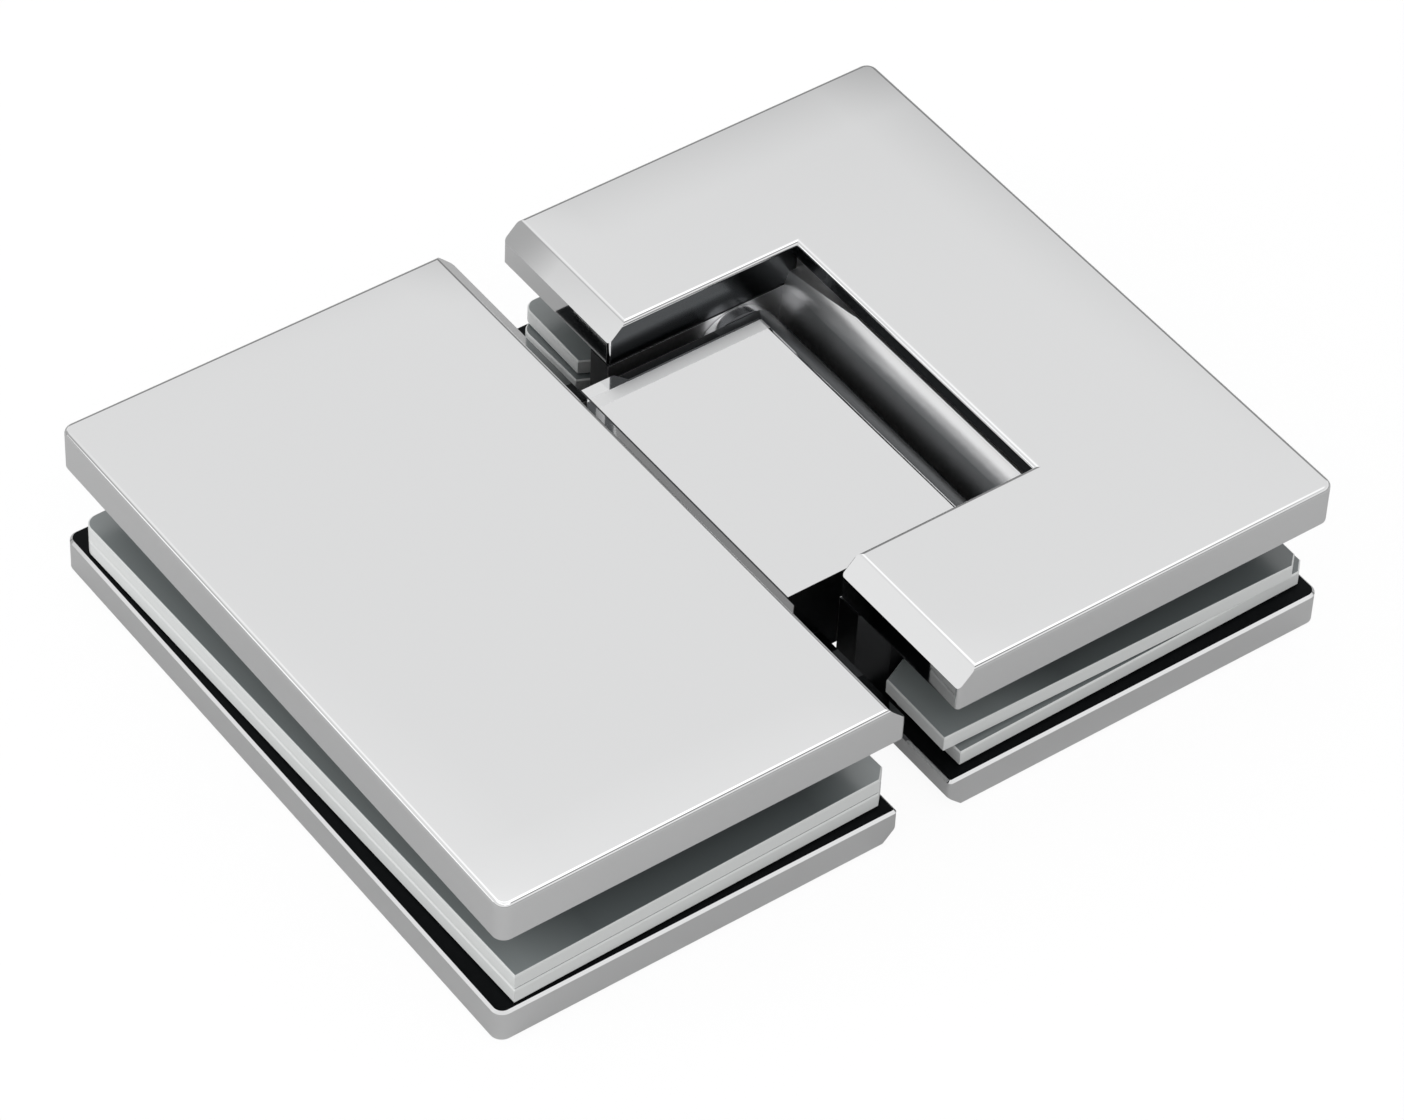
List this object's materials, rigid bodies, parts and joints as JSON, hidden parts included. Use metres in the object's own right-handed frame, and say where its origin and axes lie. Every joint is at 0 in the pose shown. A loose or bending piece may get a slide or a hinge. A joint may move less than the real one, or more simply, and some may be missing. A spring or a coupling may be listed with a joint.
{
  "type": "glass door hinge",
  "caption": "Chromed glass-to-glass door hinge: two pairs of clamp plates with gaskets, joined by a pivot block on a fixed pin.",
  "frame": {"origin": "on the underside of the back plates, midway between the two halves and halfway along the pin", "axes": "+X from the door half to the frame half, +Y along the pin, +Z out of the front plates"},
  "size_m": [0.1174, 0.09, 0.0227],
  "materials": {
    "chrome_plate": "polished chrome plate on brass",
    "chrome_casting": "polished chrome plate on a brass casting",
    "steel_pin": "ground stainless steel",
    "steel_washer": "bright stainless steel",
    "acetal": "white acetal",
    "spring_steel": "spring steel",
    "screw_steel": "stainless steel",
    "gasket": "translucent grey vinyl"
  },
  "bodies": {
    "frame_half": {"frame_front_plate": "chrome_plate", "frame_back_plate": "chrome_plate", "frame_body": "chrome_casting", "hinge_pin": "steel_pin", "front_washer": "steel_washer", "rear_washer": "steel_washer", "frame_clamp_screws": "screw_steel", "front_pin_set_screw": "screw_steel", "rear_pin_set_screw": "screw_steel", "frame_front_gasket": "gasket", "frame_back_gasket": "gasket"},
    "door_half": {"door_front_plate": "chrome_plate", "door_back_plate": "chrome_plate", "pivot_block": "chrome_casting", "front_bush": "acetal", "rear_bush": "acetal", "front_cam_follower": "steel_pin", "rear_cam_follower": "steel_pin", "front_spring": "spring_steel", "rear_spring": "spring_steel", "front_spring_plug": "screw_steel", "rear_spring_plug": "screw_steel", "door_clamp_screws": "screw_steel", "door_front_gasket": "gasket", "door_back_gasket": "gasket"}
  },
  "joints": [
    {"name": "door_swing", "type": "hinge", "parent": "frame_half", "child": "door_half", "pos_m": [0.02215, 0, 0.01085], "axis": [0, 1, 0], "range_deg": [-90, 90]}
  ]
}
